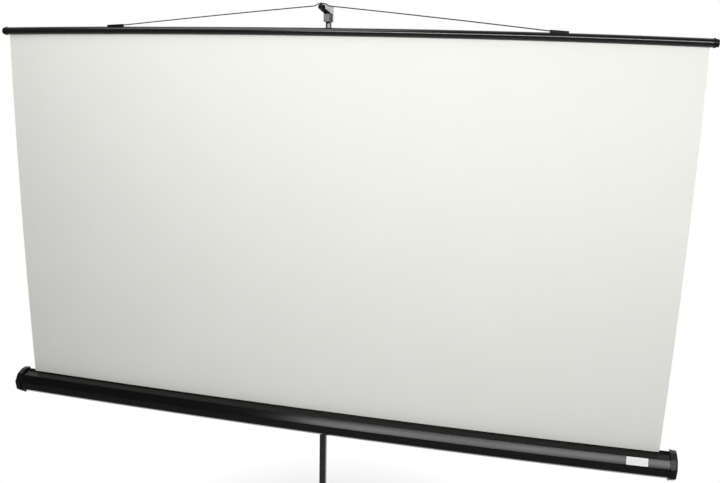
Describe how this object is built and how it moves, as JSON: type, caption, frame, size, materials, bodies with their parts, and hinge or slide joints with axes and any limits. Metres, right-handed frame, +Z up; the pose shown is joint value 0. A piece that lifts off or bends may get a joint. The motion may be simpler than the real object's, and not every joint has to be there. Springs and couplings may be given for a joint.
{
  "type": "tripod projection screen",
  "caption": "Free-standing projection screen: white fabric on a spring roller in an eight-sided case, pulled up to a batten hung by a wire bail on a telescopic pole with folding legs.",
  "frame": {"origin": "on the floor, under the middle of the open screen's outer size", "axes": "+X to the viewer's right along the case, +Y away from the viewer, +Z up"},
  "size_m": [2.316, 0.8665, 2.1008],
  "materials": {
    "white_fabric": "matte white coated weave",
    "case_black": "black satin powder coat",
    "tube_black": "black gloss enamel",
    "moulded_black": "fine-grained black moulding",
    "grey_plastic": "mid grey moulding",
    "zinc_steel": "zinc-plated sheet and bar",
    "bail_steel": "drawn spring wire",
    "bare_label": "plain white film",
    "black_rubber": "matte black rubber"
  },
  "bodies": {
    "pole": {"pole_tube": "tube_black", "foot_hub": "moulded_black", "mast_guide": "moulded_black", "screen_fabric": "white_fabric"},
    "leg_collar": {"leg_collar": "moulded_black"},
    "collar_knob": {"collar_knob": "moulded_black"},
    "leg_1": {"leg_1": "tube_black", "leg_pin_1": "zinc_steel", "strut_pin_1": "zinc_steel", "foot_1": "black_rubber"},
    "leg_2": {"leg_2": "tube_black", "leg_pin_2": "zinc_steel", "strut_pin_2": "zinc_steel", "foot_2": "black_rubber"},
    "leg_3": {"leg_3": "tube_black", "leg_pin_3": "zinc_steel", "strut_pin_3": "zinc_steel", "foot_3": "black_rubber"},
    "strut_1": {"strut_1": "zinc_steel", "hub_pin_1": "zinc_steel"},
    "strut_2": {"strut_2": "zinc_steel", "hub_pin_2": "zinc_steel"},
    "strut_3": {"strut_3": "zinc_steel", "hub_pin_3": "zinc_steel"},
    "mast": {"extension_tube": "tube_black", "extension_shoe": "grey_plastic", "head_block": "grey_plastic", "gooseneck_arm": "zinc_steel", "gooseneck_tip": "moulded_black"},
    "mast_knob": {"mast_knob": "moulded_black"},
    "batten": {"batten_tube": "tube_black", "fabric_spline": "grey_plastic", "batten_cap_left": "moulded_black", "batten_cap_right": "moulded_black", "bail_clip_left": "moulded_black", "bail_clip_right": "moulded_black", "bail_wire": "bail_steel"},
    "case": {"case_shell": "case_black", "end_cap_left": "moulded_black", "end_cap_right": "moulded_black", "roller_bracket_left": "zinc_steel", "roller_bracket_right": "zinc_steel", "label_plate": "bare_label", "carry_handle": "moulded_black", "slider_sleeve": "moulded_black", "pivot_stud": "zinc_steel", "pivot_washer": "zinc_steel", "case_saddle": "zinc_steel", "lever_pin": "zinc_steel", "idle_pin": "zinc_steel", "spring_rod": "zinc_steel"},
    "lock_lever": {"lock_lever": "zinc_steel"},
    "roller": {"roller_tube": "zinc_steel", "wound_fabric": "white_fabric", "roller_plug_left": "moulded_black", "roller_plug_right": "moulded_black", "torsion_spring": "zinc_steel"}
  },
  "joints": [
    {"name": "leg_fold", "type": "slide", "parent": "pole", "child": "leg_collar", "axis": [0, 0, -1], "range_m": [-0.22535, 0]},
    {"name": "leg_swing_1", "type": "hinge", "parent": "leg_collar", "child": "leg_1", "pos_m": [0, -0.1036, 0.33879], "axis": [-1, 0, 0], "range_deg": [0, 56.01]},
    {"name": "leg_swing_2", "type": "hinge", "parent": "leg_collar", "child": "leg_2", "pos_m": [-0.02598, -0.1486, 0.33879], "axis": [0.5, -0.866, 0], "range_deg": [0, 56.01]},
    {"name": "leg_swing_3", "type": "hinge", "parent": "leg_collar", "child": "leg_3", "pos_m": [0.02598, -0.1486, 0.33879], "axis": [0.5, 0.866, 0], "range_deg": [0, 56.01]},
    {"name": "strut_swing_1", "type": "hinge", "parent": "leg_1", "child": "strut_1", "pos_m": [0, 0.09993, 0.21161], "axis": [-1, 0, 0], "range_deg": [-112.02, 0]},
    {"name": "strut_swing_2", "type": "hinge", "parent": "leg_2", "child": "strut_2", "pos_m": [-0.20224, -0.25037, 0.21161], "axis": [0.5, -0.866, 0], "range_deg": [-112.02, 0]},
    {"name": "strut_swing_3", "type": "hinge", "parent": "leg_3", "child": "strut_3", "pos_m": [0.20224, -0.25037, 0.21161], "axis": [0.5, 0.866, 0], "range_deg": [-112.02, 0]},
    {"name": "collar_knob_turn", "type": "hinge", "parent": "leg_collar", "child": "collar_knob", "pos_m": [0, -0.1336, 0.35079], "axis": [0.866, 0.5, 0], "range_deg": [0, 270]},
    {"name": "screen_lower", "type": "slide", "parent": "pole", "child": "mast", "axis": [0, 0, 1], "range_m": [-0.8, 0], "deforming": ["screen_fabric"]},
    {"name": "mast_knob_turn", "type": "hinge", "parent": "pole", "child": "mast_knob", "pos_m": [0, -0.1336, 1.214], "axis": [1, 0, 0], "range_deg": [0, 270]},
    {"name": "batten_lift", "type": "slide", "parent": "mast", "child": "batten", "axis": [0, 0, 1], "range_m": [0, 0.006]},
    {"name": "case_raise", "type": "slide", "parent": "pole", "child": "case", "axis": [0, 0, -1], "range_m": [-0.416, 0], "deforming": ["screen_fabric"]},
    {"name": "lock_lever_press", "type": "hinge", "parent": "case", "child": "lock_lever", "pos_m": [0, -0.1112, 0.735], "axis": [1, 0, 0], "range_deg": [0, 20], "stiffness_Nm_per_rad": 0.6},
    {"name": "roller_spin", "type": "hinge", "parent": "case", "child": "roller", "pos_m": [0, -0.22665, 0.743], "axis": [1, 0, 0], "range_deg": [-2584, 0]}
  ],
  "couplings": [
    {"joint": "leg_swing_1", "follows": "leg_fold", "rad_per_m": -4.3373},
    {"joint": "leg_swing_2", "follows": "leg_fold", "rad_per_m": -4.3373},
    {"joint": "leg_swing_3", "follows": "leg_fold", "rad_per_m": -4.3373},
    {"joint": "strut_swing_1", "follows": "leg_fold", "rad_per_m": 8.6745},
    {"joint": "strut_swing_2", "follows": "leg_fold", "rad_per_m": 8.6745},
    {"joint": "strut_swing_3", "follows": "leg_fold", "rad_per_m": 8.6745},
    {"joint": "roller_spin", "follows": "screen_lower", "rad_per_m": 56.338}
  ]
}
